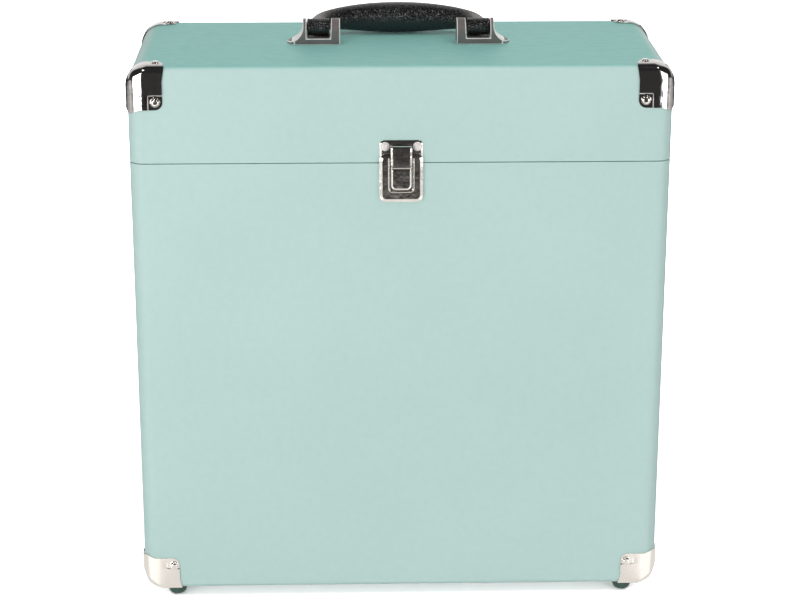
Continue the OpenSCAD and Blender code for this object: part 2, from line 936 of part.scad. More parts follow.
module grip_arch() {
    points = [for (i = [0:grip_rings]) each grip_ring(i)];
    last = grip_rings * grip_sides;
    walls = [for (i = [0:grip_rings - 1]) for (k = [0:grip_sides - 1])
        let (n = (k + 1) % grip_sides, a = i * grip_sides, b = a + grip_sides)
        each [[a + k, b + n, a + n], [a + k, b + k, b + n]]];
    ends = [[for (k = [0:grip_sides - 1]) k], [for (k = [grip_sides - 1:-1:0]) last + k]];
    polyhedron(points = points, faces = concat(walls, ends));
}

module handle_grip() {
    color(grip_black) difference() {
        union() {
            translate([0, 0, z_top + pivot_h]) grip_arch();
            for (side = [-1, 1])
                pivot_cylinder(barrel_r, side * barrel_span / 2 - barrel_w / 2,
                    side * barrel_span / 2 + barrel_w / 2);
        }
        for (side = [-1, 1])
            pivot_cylinder(handle_pin_r + running, side * barrel_span / 2 - barrel_w,
                side * barrel_span / 2 + barrel_w);
    }
}

body_front_board();
body_back_board();
body_left_board();
body_right_board();
body_base_board();
body_cover();
body_lining();
corner_bottom_front_left();
corner_bottom_front_right();
corner_bottom_back_left();
corner_bottom_back_right();
bottom_corner_rivets();
foot_front_left();
foot_front_right();
foot_back_left();
foot_back_right();
foot_nails();
latch_plate();
latch_pivot_pins();
latch_plate_rivets();
hinge_left_lower_leaf();
hinge_right_lower_leaf();
hinge_pins();
hinge_body_rivets();
lid_front_board();
lid_back_board();
lid_left_board();
lid_right_board();
lid_top_board();
lid_cover();
lid_lining();
corner_top_front_left();
corner_top_front_right();
corner_top_back_left();
corner_top_back_right();
top_corner_rivets();
strike_plate();
strike_rivets();
hinge_left_upper_leaf();
hinge_right_upper_leaf();
hinge_lid_rivets();
handle_bracket_left();
handle_bracket_right();
handle_pins();
handle_screws();
latch_lever();
latch_hasp_pin();
latch_hasp();
handle_grip();
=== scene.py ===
# %% [markdown]
# # A record carrying case
# This script dresses a working case: a board box covered in pale teal leathercloth, with a
# hinged lid, metal corners, a draw latch, rubber feet and a folding grip. The solids come
# from CAD and already know how they move. Here each one gets its visible skin: new meshes
# where the real piece has soft edges and pressed details, and new finishes everywhere.
# Blender works in metres, so the frame does too.

# %% Load the frame
import json
import math

import bmesh
import bpy
from mathutils import Matrix, Vector


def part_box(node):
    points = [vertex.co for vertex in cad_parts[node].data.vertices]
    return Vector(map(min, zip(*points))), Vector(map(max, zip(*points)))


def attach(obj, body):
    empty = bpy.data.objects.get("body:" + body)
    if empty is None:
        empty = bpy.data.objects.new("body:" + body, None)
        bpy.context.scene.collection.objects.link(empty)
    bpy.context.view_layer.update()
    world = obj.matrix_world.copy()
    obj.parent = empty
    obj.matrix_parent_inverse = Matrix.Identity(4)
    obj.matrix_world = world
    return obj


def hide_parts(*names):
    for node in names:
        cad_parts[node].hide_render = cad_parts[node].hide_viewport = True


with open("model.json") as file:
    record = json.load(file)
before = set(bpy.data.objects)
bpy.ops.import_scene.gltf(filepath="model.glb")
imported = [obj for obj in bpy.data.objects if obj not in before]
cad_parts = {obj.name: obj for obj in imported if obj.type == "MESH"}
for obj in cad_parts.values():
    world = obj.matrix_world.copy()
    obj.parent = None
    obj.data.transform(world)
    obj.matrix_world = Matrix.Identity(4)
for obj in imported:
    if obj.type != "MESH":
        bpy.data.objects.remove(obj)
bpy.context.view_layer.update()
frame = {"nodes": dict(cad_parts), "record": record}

# %% [markdown]
# A maker's drawing is in millimetres, so every size below is too, and one scale at the end of
# each piece turns it into metres. The sizes of the case are read from the frame where a
# solid has them, so that the skin always fits what is under it.

# %% The sizes that everything hangs on
MM = 0.001


def node_box(node):
    """The lowest and highest corner of a CAD node, in millimetres."""
    low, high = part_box(node)
    return low / MM, high / MM


body_low, body_high = node_box("body_cover")
lid_low, lid_high = node_box("lid_cover")
half_w, half_d = body_high.x, body_high.y
base_z, top_z = body_low.z, lid_high.z
seam_z = (body_high.z + lid_low.z) / 2
side_round, upright_round, long_round = 14, 10, 4
print("case", 2 * half_w, 2 * half_d, top_z - base_z, "seam at", seam_z)

# %% [markdown]
# ## Finishing a piece
# A bmesh is a mesh on the bench: it can be cut and bent freely, and it becomes an object only
# at the end. That last step is the same for every piece, so it is one function. It merges
# doubles, turns all faces outwards, scales to metres, and splits the shading at sharp edges
# only, because a pressed sheet looks smooth across its bends and crisp at its cut edges. The
# Weighted Normal modifier lets large faces decide how their edges are shaded, so that flat
# metal reflects like a flat mirror right up to the bevel beside it.

# %% A bmesh becomes a piece
def finish_piece(bm, name, body, finish, nodes=(), sharp=38, second=None):
    bmesh.ops.remove_doubles(bm, verts=bm.verts, dist=0.001)
    bmesh.ops.recalc_face_normals(bm, faces=bm.faces)
    bmesh.ops.scale(bm, vec=(MM, MM, MM), verts=bm.verts)
    mesh = bpy.data.meshes.new(name)
    bm.to_mesh(mesh)
    bm.free()
    mesh.materials.append(finish)
    if second:
        mesh.materials.append(second)
    mesh.shade_smooth()
    mesh.set_sharp_from_angle(angle=math.radians(sharp))
    piece = bpy.data.objects.new(name, mesh)
    bpy.context.scene.collection.objects.link(piece)
    flat = piece.modifiers.new("flat_stays_flat", "WEIGHTED_NORMAL")
    flat.keep_sharp = True
    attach(piece, body)
    if nodes:
        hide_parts(*nodes)
    print(name, len(mesh.polygons), "faces")

# %% [markdown]
# ## Finishes
# A finish is a small graph of nodes. Writing each node as one call keeps the graphs short:
# the call takes the kind of node, its settings, and what goes into its sockets, which is
# either a number or the output of an earlier node.

# %% One call per node
def feed(tree, node, inputs):
    """Fills sockets, by name or number, each with a number or another node's output."""
    for name, value in inputs.items():
        if isinstance(value, bpy.types.NodeSocket):
            tree.links.new(value, node.inputs[name])
        else:
            node.inputs[name].default_value = value


def add(tree, kind, inputs, **settings):
    node = tree.nodes.new("ShaderNode" + kind)
    for name, value in settings.items():
        setattr(node, name, value)
    feed(tree, node, inputs)
    return node


def start_finish(name):
    """A new material: its tree, its shader and its coordinates, which are the piece's own."""
    material = bpy.data.materials.new(name)
    material.use_nodes = True
    tree = material.node_tree
    shader = tree.nodes["Principled BSDF"]
    where = add(tree, "TexCoord", {}).outputs["Object"]
    return material, tree, shader, where


def noise(tree, where, size, detail=2, rough=0.5, stretch=None):
    """Noise whose lumps are about size millimetres across, longer along a stretched axis."""
    if stretch:
        where = add(tree, "Mapping", {"Vector": where, "Scale": stretch}).outputs["Vector"]
    return add(tree, "TexNoise", {"Vector": where, "Scale": 1 / (size * MM), "Detail": detail,
                                  "Roughness": rough}).outputs["Fac"]


def ramp(tree, value, low, high, low_to, high_to):
    """Turns a value between low and high into one between low_to and high_to."""
    return add(tree, "MapRange", {"Value": value, "From Min": low, "From Max": high,
                                  "To Min": low_to, "To Max": high_to}).outputs["Result"]


def blend_colours(tree, factor, first, second):
    """Two colours mixed; each is three numbers or the output of an earlier node."""
    first, second = (colour if isinstance(colour, bpy.types.NodeSocket) else (*colour, 1)
                     for colour in (first, second))
    return add(tree, "Mix", {0: factor, 6: first, 7: second}, data_type="RGBA").outputs[2]


def join(tree, kind, first, second):
    """Two values added, multiplied and so on."""
    return add(tree, "Math", {0: first, 1: second}, operation=kind).outputs[0]


def raise_surface(tree, shader, height, depth, strength=1):
    """Bump: height 1 stands depth millimetres above height 0."""
    bump = add(tree, "Bump", {"Height": height, "Distance": depth * MM, "Strength": strength})
    feed(tree, shader, {"Normal": bump.outputs["Normal"]})


def linear(red, green, blue):
    """A colour as a paint chart gives it, 0 to 255, turned into what the shader reads."""
    return tuple(((c / 255 + 0.055) / 1.055) ** 2.4 if c > 10 else c / 3295
                 for c in (red, green, blue))

# %% [markdown]
# ** Leathercloth** is a woven cloth with a coloured, embossed coat. Three things make it: a fine grain of small pebbles under a millimetre across, a slow drift of colour where the coat is thicker or more faded, and a dull gloss that is uneven. The top of the lid is painted a deeper, more saturated teal than the walls, so the colour also follows the height: this is painted shade, for a top that is less lit than the walls.

# %% Leathercloth
def leathercloth_finish():
    material, tree, shader, where = start_finish("leathercloth_teal")
    drift = noise(tree, where, 110, detail=2)
    mottle = noise(tree, where, 5, detail=3, rough=0.6)
    pebble = add(tree, "TexVoronoi", {"Vector": where, "Scale": 1 / (0.9 * MM)},
                 feature="SMOOTH_F1").outputs["Distance"]
    streak = noise(tree, where, 1.6, detail=4, rough=0.65, stretch=(0.12, 1, 1))
    wall = blend_colours(tree, ramp(tree, drift, 0.35, 0.65, 0, 1),
                         linear(186, 214.5, 209), linear(189, 216.5, 211.5))
    # Painted shade: the top of the lid gets a deeper colour than the walls, which stands in for
    # it being less lit
    painted_top_shade = blend_colours(tree, ramp(tree, streak, 0.3, 0.7, 0, 1),
                         linear(141, 202, 192), linear(156, 213, 205))
    height = add(tree, "SeparateXYZ", {"Vector": where}).outputs["Z"]
    painted_shade_on_top = ramp(tree, height, (top_z - 1.8) * MM, (top_z - 0.2) * MM, 0, 1)
    base = blend_colours(tree, painted_shade_on_top, wall, painted_top_shade)
    speck = blend_colours(tree, ramp(tree, mottle, 0.3, 0.8, 0, 0.12), base,
                          linear(150, 190, 184))
    feed(tree, shader, {"Base Color": speck, "Specular IOR Level": 0.35,
                        "Roughness": ramp(tree, mottle, 0.3, 0.7, 0.5, 0.62)})
    grain = join(tree, "ADD", join(tree, "MULTIPLY", pebble, 0.7),
                 join(tree, "MULTIPLY", streak, 0.5))
    raise_surface(tree, shader, grain, 0.06, 0.5)
    return material


leathercloth = leathercloth_finish()

# %% [markdown]
# **Bright metal.** Plated steel is a mirror that isn't flat: rolling and pressing leave a slow
# ripple, and handling leaves fine scratches and smears that dull it in patches. The ripple
# matters most, because it is what breaks the reflections into streaks. A finish that is only
# partly metallic shows some of its own colour too, as a brushed or cast surface does.

# %% Plated metals
def plated_finish(name, colour, dull, ripple, wide=6, scratch=0.5, metal=1, stain=0.14):
    """dull is the lowest roughness; ripple and wide are its depth and width in millimetres."""
    material, tree, shader, where = start_finish(name)
    smear = noise(tree, where, 9, detail=4, rough=0.6)
    fine = noise(tree, where, 0.5, detail=2, stretch=(1, 1, 0.15))
    shade = blend_colours(tree, ramp(tree, smear, 0.35, 0.7, 0, 1), colour,
                          tuple((1 - stain) * c for c in colour))
    rough = join(tree, "ADD", ramp(tree, smear, 0.3, 0.7, dull, dull * 1.9),
                 ramp(tree, fine, 0.55, 0.75, 0, 0.05 * scratch))
    feed(tree, shader, {"Base Color": shade, "Roughness": rough, "Metallic": metal})
    wave = noise(tree, where, wide, detail=2, rough=0.4)
    bumps = join(tree, "ADD", wave, join(tree, "MULTIPLY", fine, 0.02 * scratch))
    raise_surface(tree, shader, bumps, ripple, 0.6)
    return material


# The upper corners get a darker plating colour than the lower ones, though all eight are the same
# plated metal: the upper corners' darker colour is painted shade, the lower corners' lighter
# colour painted light
corner_chrome = plated_finish("corner_chrome", (0.62, 0.60, 0.60), dull=0.06, ripple=0.25)
corner_nickel = plated_finish("corner_nickel", (0.88, 0.84, 0.79), dull=0.16,
                              ripple=0.10, stain=0.04)
nickel = plated_finish("latch_nickel", (0.95, 0.91, 0.86), dull=0.10, ripple=0.22, wide=4)
bracket_metal = plated_finish("bracket_metal", (0.25, 0.215, 0.21), dull=0.36, ripple=0.06,
                              scratch=1.5, metal=0.5)
# Part polish, part painted highlight: a near-white finish for the bracket's edges and flanks
bracket_polish_and_painted_highlight = plated_finish("bracket_polish_and_painted_highlight", (1.0, 0.97, 0.95), dull=0.34,
                                 ripple=0.06, metal=0.2)
dull_steel = plated_finish("dull_steel", (0.30, 0.29, 0.29), dull=0.30, ripple=0.10)

# %% [markdown]
# ** The grip** is moulded with a leather pattern: rounded pebbles a little over a millimetre across with creases between them, in black with a soft gloss. Its colour is painted lighter on the pebbles and darker in the creases: painted sheen on the pebbles, painted shade in the creases.

# %% Moulded black
def grip_finish():
    material, tree, shader, where = start_finish("grip_black")
    cells = add(tree, "TexVoronoi", {"Vector": where, "Scale": 1 / (1.7 * MM), "Randomness": 1},
                feature="DISTANCE_TO_EDGE").outputs["Distance"]
    pebble = ramp(tree, cells, 0, 0.35, 0, 1)
    lumps = noise(tree, where, 1.1, detail=2)
    # Painted sheen and shade: lighter black on the pebbles, darker in the creases between them
    shade = blend_colours(tree, pebble, linear(10, 10, 11), linear(28, 28, 29))
    feed(tree, shader, {"Base Color": shade, "Specular IOR Level": 0.7,
                        "Roughness": ramp(tree, lumps, 0.3, 0.7, 0.18, 0.34)})
    raise_surface(tree, shader, join(tree, "ADD", pebble, join(tree, "MULTIPLY", lumps, 0.6)),
                  0.3, 0.7)
    return material


grip_black = grip_finish()

# %% [markdown]
# **Rubber, cloth and bare board.** The feet are matt green rubber with a little dust. The
# lining is a plain weave, so two crossed sets of waves make its threads. The boards hardly
# show, but they are light wood with a grain that runs along each board's length.

# %% Rubber, lining and board
def foot_finish():
    material, tree, shader, where = start_finish("foot_rubber")
    dust = noise(tree, where, 2.5, detail=4, rough=0.6)
    shade = blend_colours(tree, ramp(tree, dust, 0.4, 0.75, 0, 1), linear(44, 74, 66),
                          linear(66, 98, 89))
    feed(tree, shader, {"Base Color": shade,
                        "Roughness": ramp(tree, dust, 0.3, 0.7, 0.42, 0.6)})
    raise_surface(tree, shader, noise(tree, where, 0.7), 0.05, 0.5)
    return material


def lining_finish():
    material, tree, shader, where = start_finish("lining_cloth")
    threads = [add(tree, "TexWave", {"Vector": where, "Scale": 1 / (6 * MM), "Distortion": 0.6},
                   bands_direction=axis).outputs["Fac"] for axis in ("X", "Y", "Z")]
    weave = join(tree, "MULTIPLY", join(tree, "ADD", threads[0], threads[1]), threads[2])
    patch = noise(tree, where, 40, detail=3)
    warm = blend_colours(tree, patch, linear(58, 62, 62), linear(74, 78, 77))
    shade = blend_colours(tree, ramp(tree, weave, 0.1, 1.4, 0, 0.6), linear(38, 41, 41), warm)
    feed(tree, shader, {"Base Color": shade, "Roughness": 0.9, "Sheen Weight": 0.2})
    raise_surface(tree, shader, weave, 0.12, 0.6)
    return material


def board_finish():
    material, tree, shader, where = start_finish("bare_board")
    grain = noise(tree, where, 5, detail=6, rough=0.6, stretch=(0.06, 1, 1))
    shade = blend_colours(tree, ramp(tree, grain, 0.3, 0.7, 0, 1), linear(166, 132, 88),
                          linear(206, 176, 132))
    feed(tree, shader, {"Base Color": shade,
                        "Roughness": ramp(tree, grain, 0.3, 0.7, 0.55, 0.75)})
    raise_surface(tree, shader, grain, 0.08, 0.5)
    return material


foot_rubber = foot_finish()
lining_cloth = lining_finish()
bare_board = board_finish()

# %% [markdown]
# ## What stays as CAD made it
# Boards, linings, pins and screws are simple solids that barely show, and their shape is
# already right, so they keep it and only take a finish.

# %% Finishes for the CAD pieces
kept_finishes = {
    "leathercloth": leathercloth, "board": bare_board, "lining": lining_cloth,
    "foot_rubber": foot_rubber, "corner_chrome": corner_chrome, "corner_nickel": corner_nickel,
    "bracket_metal": bracket_metal, "grip": grip_black, "steel": dull_steel, "nickel": nickel}
for row in frame["record"]["subparts"]:
    node = frame["nodes"][row["node"]]
    for place in node.material_slots:
        place.material = kept_finishes[row["material_slot"]]

# %% [markdown]
# ## The covered box
# The real cover is one cloth glued over rounded boards, so its edges are soft, and by
# different amounts: wide where front and back meet the sides of the lid, less on the upright
# edges, tight along the top and bottom. One cube does all of this. Each of its twelve edges
# gets a weight, and a Bevel modifier rounds every edge by its own share of one width, which
# also makes a clean ball at each corner. Three separate bevels would leave creases there.

# %% Modifiers on the bench
def with_modifier(bm, kind, **settings):
    """Runs one modifier on a bmesh and gives back what comes out, as a bmesh."""
    # Two empty material slots let a Bevel mark its new faces for a second finish
    mesh = bpy.data.meshes.new("bench")
    for _ in range(2):
        mesh.materials.append(None)
    bm.to_mesh(mesh)
    bm.free()
    bench = bpy.data.objects.new("bench", mesh)
    bpy.context.scene.collection.objects.link(bench)
    modifier = bench.modifiers.new(kind, kind)
    for name, value in settings.items():
        setattr(modifier, name, value)
    bpy.context.view_layer.update()
    done = bmesh.new()
    done.from_object(bench, bpy.context.evaluated_depsgraph_get())
    bpy.data.objects.remove(bench)
    bpy.data.meshes.remove(mesh)
    return done


def block(low, high):
    """A box between two corners."""
    bm = bmesh.new()
    bmesh.ops.create_cube(bm, size=1)
    size, middle = Vector(high) - Vector(low), (Vector(high) + Vector(low)) / 2
    bmesh.ops.scale(bm, vec=size, verts=bm.verts)
    bmesh.ops.translate(bm, vec=middle, verts=bm.verts)
    return bm


def soft_box(low, high, along_x, along_y, along_z, segments=8):
    """A box whose edges are rounded by a radius for each of the three ways they run."""
    bm = block(low, high)
    widest = max(along_x, along_y, along_z)
    weight = bm.edges.layers.float.new("bevel_weight_edge")
    for edge in bm.edges:
        way = edge.verts[1].co - edge.verts[0].co
        radii = zip((abs(way.x), abs(way.y), abs(way.z)), (along_x, along_y, along_z))
        edge[weight] = max(radii)[1] / widest
    return with_modifier(bm, "BEVEL", width=widest, segments=segments, limit_method="WEIGHT",
                         use_clamp_overlap=False)


def case_form(grow):
    """The outside of the whole case, grown outwards by a sheet of that thickness."""
    return soft_box((-half_w - grow, -half_d - grow, base_z - grow),
                    (half_w + grow, half_d + grow, top_z + grow),
                    long_round + grow, side_round + grow, upright_round + grow)


def cut(bm, point, outward):
    """Cuts along a plane and throws away what lies beyond it."""
    everything = bm.verts[:] + bm.edges[:] + bm.faces[:]
    bmesh.ops.bisect_plane(bm, geom=everything, plane_co=point, plane_no=outward,
                           clear_outer=True, dist=1e-5)


def score(bm, point, across):
    """Adds a line of vertices along a plane and throws nothing away."""
    everything = bm.verts[:] + bm.edges[:] + bm.faces[:]
    bmesh.ops.bisect_plane(bm, geom=everything, plane_co=point, plane_no=across, dist=1e-5)


def rim_edges(bm):
    return [edge for edge in bm.edges if edge.is_boundary]

# %% [markdown]
# The box is cut at the seam, and each half keeps its skin. At the seam the cloth turns in
# over the edge of the boards: the rim is pushed inwards as a flat band, and the fold between
# skin and band is rounded, which is what makes the seam a soft dark line with a lit lip. Then
# the skin gets the thickness of the cloth, towards the boards. The cloth stands a little past
# the boards at the rim, so the seam that shows is narrower than the gap between the boards.

# %% The two covers
hollow_half_w, hollow_half_d = 169.5, 69
cloth_past = 0.2


def cover(name, body, node, rim_z, keep_above):
    bm = case_form(0)
    cut(bm, (0, 0, rim_z), (0, 0, -1 if keep_above else 1))
    fold = rim_edges(bm)
    band = bmesh.ops.extrude_edge_only(bm, edges=fold)["geom"]
    inner = [item for item in band if isinstance(item, bmesh.types.BMVert)]
    bmesh.ops.scale(bm, vec=(hollow_half_w / half_w, hollow_half_d / half_d, 1), verts=inner)
    bmesh.ops.bevel(bm, geom=fold, offset=0.45, segments=3, profile=0.5, affect="EDGES",
                    material=-1)
    bmesh.ops.recalc_face_normals(bm, faces=bm.faces)
    bm = with_modifier(bm, "SOLIDIFY", thickness=0.8, offset=-1, use_even_offset=True)
    finish_piece(bm, name, body, leathercloth, [node])


cover("cover_of_body", "case_body", "body_cover", body_high.z + cloth_past, keep_above=False)
cover("cover_of_lid", "lid", "lid_cover", lid_low.z - cloth_past, keep_above=True)

# %% [markdown]
# The linings are cloth on card, so their corners are soft too. Each is a smaller soft box,
# opened at the rim, and its sheet gets its thickness outwards, towards the boards.

# %% The two linings
def lining(name, body, node, rim_z, keep_above):
    low, high = (Vector(corner) for corner in node_box(node))
    spare = 30
    if keep_above:
        low.z -= spare
    else:
        high.z += spare
    bm = soft_box(low, high, along_x=3, along_y=3, along_z=9, segments=4)
    cut(bm, (0, 0, rim_z), (0, 0, -1 if keep_above else 1))
    bmesh.ops.recalc_face_normals(bm, faces=bm.faces)
    bm = with_modifier(bm, "SOLIDIFY", thickness=0.6, offset=-1, use_even_offset=True)
    finish_piece(bm, name, body, lining_cloth, [node])


below_rim = 0.4
lining("lining_of_body", "case_body", "body_lining", body_high.z - below_rim, keep_above=False)
lining("lining_of_lid", "lid", "lid_lining", lid_low.z + below_rim, keep_above=True)

# %% [markdown]
# ## Metal corners
# Each corner is pressed from sheet: a ball, three flanges with rounded ends that reach a
# little further along the case's edges, and a small sunk square for the rivet. All of it can
# be cut from the same soft box as the cover, grown by the thickness of the sheet, so that the
# metal lies on the cloth everywhere. The cut edges are then moved out to their outline, the
# free corners are rounded with a vertex bevel, and the sheet gets its thickness.
# The work is done with the case's corner at zero, at the right, front and top, where the
# distance along a face is a plain coordinate. A mirror makes the other seven.

# %% One pressed corner
sheet_t = 1.1
cap_depth = 14
sink, slope = 0.45, 0.7


def inset_of(vert):
    """How far a vertex lies from the case's side, front and top."""
    return -vert.co.x, vert.co.y, -vert.co.z


def pressed_corner(wide, tall, rise, dent_w, dent_h, dent_d):
    """rise is its extra reach at the upright edge; a dent_d of 0 leaves the top undented."""
    bm = case_form(sheet_t)
    bmesh.ops.translate(bm, vec=(-half_w, half_d, -top_z), verts=bm.verts)
    flare = 1.5
    ends = (wide + flare, cap_depth + flare, tall + rise)
    cut(bm, (-ends[0], 0, 0), (-1, 0, 0))
    cut(bm, (0, ends[1], 0), (0, 1, 0))
    cut(bm, (0, 0, -ends[2]), (0, 0, -1))
    for at in (wide - dent_w - slope, wide - dent_w, wide / 3, wide * 0.47):
        score(bm, (-at, 0, 0), (1, 0, 0))
    for at in (tall - dent_h - slope, tall - dent_h, tall / 3):
        score(bm, (0, 0, -at), (0, 0, 1))
    for at in (cap_depth - dent_d - slope, cap_depth - dent_d):
        score(bm, (0, at, 0), (0, 1, 0))
    # Bring the cut edges to their outline: full reach at the case's edges, less further in
    for vert in bm.verts:
        x, y, z = inset_of(vert)
        if x > ends[0] - 0.01:
            vert.co.x = -(wide + flare * max(0, 1 - max(y, z) * 3 / tall))
        if y > ends[1] - 0.01:
            vert.co.y = cap_depth + flare * max(0, 1 - max(x, z) * 3 / cap_depth)
        if z > ends[2] - 0.01:
            vert.co.z = -(tall + rise * max(0, 1 - max(x, y) * 3 / wide))
    # Sink the rivet's square on the front and on the top
    for vert in bm.verts:
        x, y, z = inset_of(vert)
        if x > wide - dent_w - 0.1 and z > tall - dent_h - 0.1 and y < 0:
            vert.co.y += sink
        if dent_d and x > wide - dent_w - 0.1 and y > cap_depth - dent_d - 0.1 and z < 0:
            vert.co.z -= sink
    # Round the free corner of each flange
    for reach, away in ((5, (wide, -1, tall)), (7, (wide, cap_depth, -1)),
                        (5, (-1, cap_depth, tall))):
        free = min(bm.verts, key=lambda vert: sum(
            (a - b) ** 2 for a, b in zip(inset_of(vert), away)))
        bmesh.ops.bevel(bm, geom=[free], offset=reach, segments=6, profile=0.5,
                        affect="VERTICES", material=-1)
    bmesh.ops.recalc_face_normals(bm, faces=bm.faces)
    bm = with_modifier(bm, "SOLIDIFY", thickness=sheet_t, offset=-1, use_even_offset=True)
    return with_modifier(bm, "BEVEL", width=0.22, segments=2, limit_method="ANGLE",
                         angle_limit=math.radians(50), use_clamp_overlap=True)


def combine(bm, other, operation):
    """Two solids joined, cut or reduced to what they share."""
    mesh = bpy.data.meshes.new("tool")
    other.to_mesh(mesh)
    other.free()
    tool = bpy.data.objects.new("tool", mesh)
    bpy.context.scene.collection.objects.link(tool)
    done = with_modifier(bm, "BOOLEAN", object=tool, operation=operation, solver="EXACT")
    bpy.data.objects.remove(tool)
    bpy.data.meshes.remove(mesh)
    return done


def to_corner(bm, side, face, up):
    """Mirrors a corner made at the right, front and top, and moves it to its own place."""
    bmesh.ops.scale(bm, vec=(side, face, up), verts=bm.verts)
    edge_z = top_z if up > 0 else base_z
    bmesh.ops.translate(bm, vec=(side * half_w, -face * half_d, edge_z), verts=bm.verts)
    return bm

# %% [markdown]
# The lower corners are wider and less tall, and each leaves room for a foot: a round hole is
# cut from its lower flange with a Boolean modifier.

# %% Eight corners
both = (-1, 1)
sides = ((-1, "left"), (1, "right"))
foot_x, foot_y, foot_r = 22, 12.5, 6.5
foot_room = foot_r + 0.15
for face, face_name in ((1, "front"), (-1, "back")):
    for side, side_name in sides:
        cap = pressed_corner(wide=23.4, tall=28.2, rise=3.6, dent_w=9, dent_h=9.2, dent_d=8)
        finish_piece(to_corner(cap, side, face, 1), f"cap_top_{face_name}_{side_name}", "lid",
                     corner_chrome, [f"corner_top_{face_name}_{side_name}"],
                     sharp=28)
        cap = pressed_corner(wide=24.6, tall=23, rise=2.4, dent_w=8.6, dent_h=7.4, dent_d=0)
        room = bmesh.new()
        bmesh.ops.create_cone(room, cap_ends=True, segments=48, radius1=foot_room,
                              radius2=foot_room, depth=6)
        bmesh.ops.translate(room, vec=(-foot_x, foot_y, 0), verts=room.verts)
        cap = combine(cap, room, "DIFFERENCE")
        finish_piece(to_corner(cap, side, face, -1), f"cap_bottom_{face_name}_{side_name}",
                     "case_body", corner_nickel,
                     [f"corner_bottom_{face_name}_{side_name}"], sharp=28)

# %% [markdown]
# ## Rivets
# A rivet's head is a dome in a thin collar. A short cylinder with its upper rim bevelled by
# nearly its own height becomes the dome, and a flatter one under it becomes the collar. All
# the heads of one kind on one body are a single piece.

# %% Rivet heads
def disc(bm, radius, low, high, round_by, segments):
    """A short cylinder from low to high whose upper rim is rounded."""
    made = bmesh.ops.create_cone(bm, cap_ends=True, segments=32, radius1=radius,
                                 radius2=radius, depth=high - low)["verts"]
    bmesh.ops.translate(bm, vec=(0, 0, (low + high) / 2), verts=made)
    top = [edge for edge in bm.edges
           if all(end.co.z > high - 0.001 and end in made for end in edge.verts)]
    bmesh.ops.bevel(bm, geom=top, offset=round_by, segments=segments, profile=0.5,
                    affect="EDGES", material=-1, clamp_overlap=False)


def rivet_head(radius, height, collar):
    bm = bmesh.new()
    root = -0.6
    disc(bm, radius, root, collar, collar * 0.6, segments=2)
    disc(bm, radius - 0.55, root, height, height * 0.92, segments=5)
    return bm


def put_together(*parts):
    """One bmesh that holds all the parts."""
    whole = bmesh.new()
    for bm in parts:
        mesh = bpy.data.meshes.new("part")
        bm.to_mesh(mesh)
        bm.free()
        whole.from_mesh(mesh)
        bpy.data.meshes.remove(mesh)
    return whole


def rivets(name, body, node, finish, places, **head):
    """A head of the given size at every place, as one piece."""
    heads = []
    for place in places:
        heads.append(rivet_head(**head))
        bmesh.ops.transform(heads[-1], matrix=place, verts=heads[-1].verts)
    finish_piece(put_together(*heads), name, body, finish, [node])


def on_face(side, x, out, z):
    """Places a head on the front (-1) or back (1), out from the case."""
    return (Matrix.Translation((x, side * (half_d + out), z))
            @ Matrix.Rotation(math.radians(-90 * side), 4, "X"))


def on_lid(x, y, out):
    return Matrix.Translation((x, y, top_z + out))


out = sheet_t - sink
corner_head = {"radius": 3.3, "height": 1.7, "collar": 0.5}
top_in, top_down, lid_in, lid_back = 18.8, 22.9, 19, 8.6
places = [on_face(face, side * (half_w - top_in), out, top_z - top_down)
          for face in both for side in both]
places += [on_lid(side * (half_w - lid_in), face * (half_d - lid_back), out)
           for face in both for side in both]
rivets("rivets_top_corners", "lid", "top_corner_rivets", nickel, places, **corner_head)
low_in, low_up = 20.8, 17.4
places = [on_face(face, side * (half_w - low_in), out, base_z + low_up)
          for face in both for side in both]
rivets("rivets_bottom_corners", "case_body", "bottom_corner_rivets", nickel, places,
       **corner_head)

# %% [markdown]
# ## Turned pieces
# Feet, barrels and beads are round about an axis. Each is a profile drawn with few points,
# whose corners are rounded by a vertex bevel, and which is then spun round the axis.

# %% Profiles and spinning
def outline(points, rounds, segments=6):
    """A flat face through the points; rounds gives a radius for some of them, by number."""
    bm = bmesh.new()
    verts = [bm.verts.new((x, y, 0)) for x, y in points]
    bm.faces.new(verts)
    for number, radius in rounds.items():
        bmesh.ops.bevel(bm, geom=[verts[number]], offset=radius, segments=segments,
                        profile=0.5, affect="VERTICES", material=-1)
    return bm


def turned(points, rounds, steps=40, segments=3):
    """A closed profile of radius and length, spun round the x axis."""
    bm = outline([(along, radius) for radius, along in points], rounds, segments)
    profile = bm.edges[:]
    bmesh.ops.delete(bm, geom=bm.faces[:], context="FACES_ONLY")
    bmesh.ops.spin(bm, geom=profile, cent=(0, 0, 0), axis=(1, 0, 0), angle=2 * math.pi,
                   steps=steps, use_merge=True)
    return bm

# %% [markdown]
# A foot is a rubber dome with a flat underside, and a fine groove runs round it where the two
# halves of its mould met. It has a hole for its nail, so its profile starts off the axis.

# %% Four feet
nail_r, groove = 1.4, 0.25
foot_profile = [(nail_r, 0), (foot_r, 0), (foot_r, 2.6), (foot_r - groove, 2.8),
                (foot_r, 3.0), (foot_r, base_z), (nail_r, base_z)]
for face, face_name in ((-1, "front"), (1, "back")):
    for side, side_name in sides:
        bm = turned(foot_profile, {5: 5}, steps=48, segments=8)
        bmesh.ops.rotate(bm, matrix=Matrix.Rotation(math.pi / 2, 3, "Y"), verts=bm.verts)
        middle = (side * (half_w - foot_x), face * (half_d - foot_y), base_z)
        bmesh.ops.translate(bm, vec=middle, verts=bm.verts)
        finish_piece(bm, f"rubber_{face_name}_{side_name}", "case_body", foot_rubber,
                     [f"foot_{face_name}_{side_name}"])

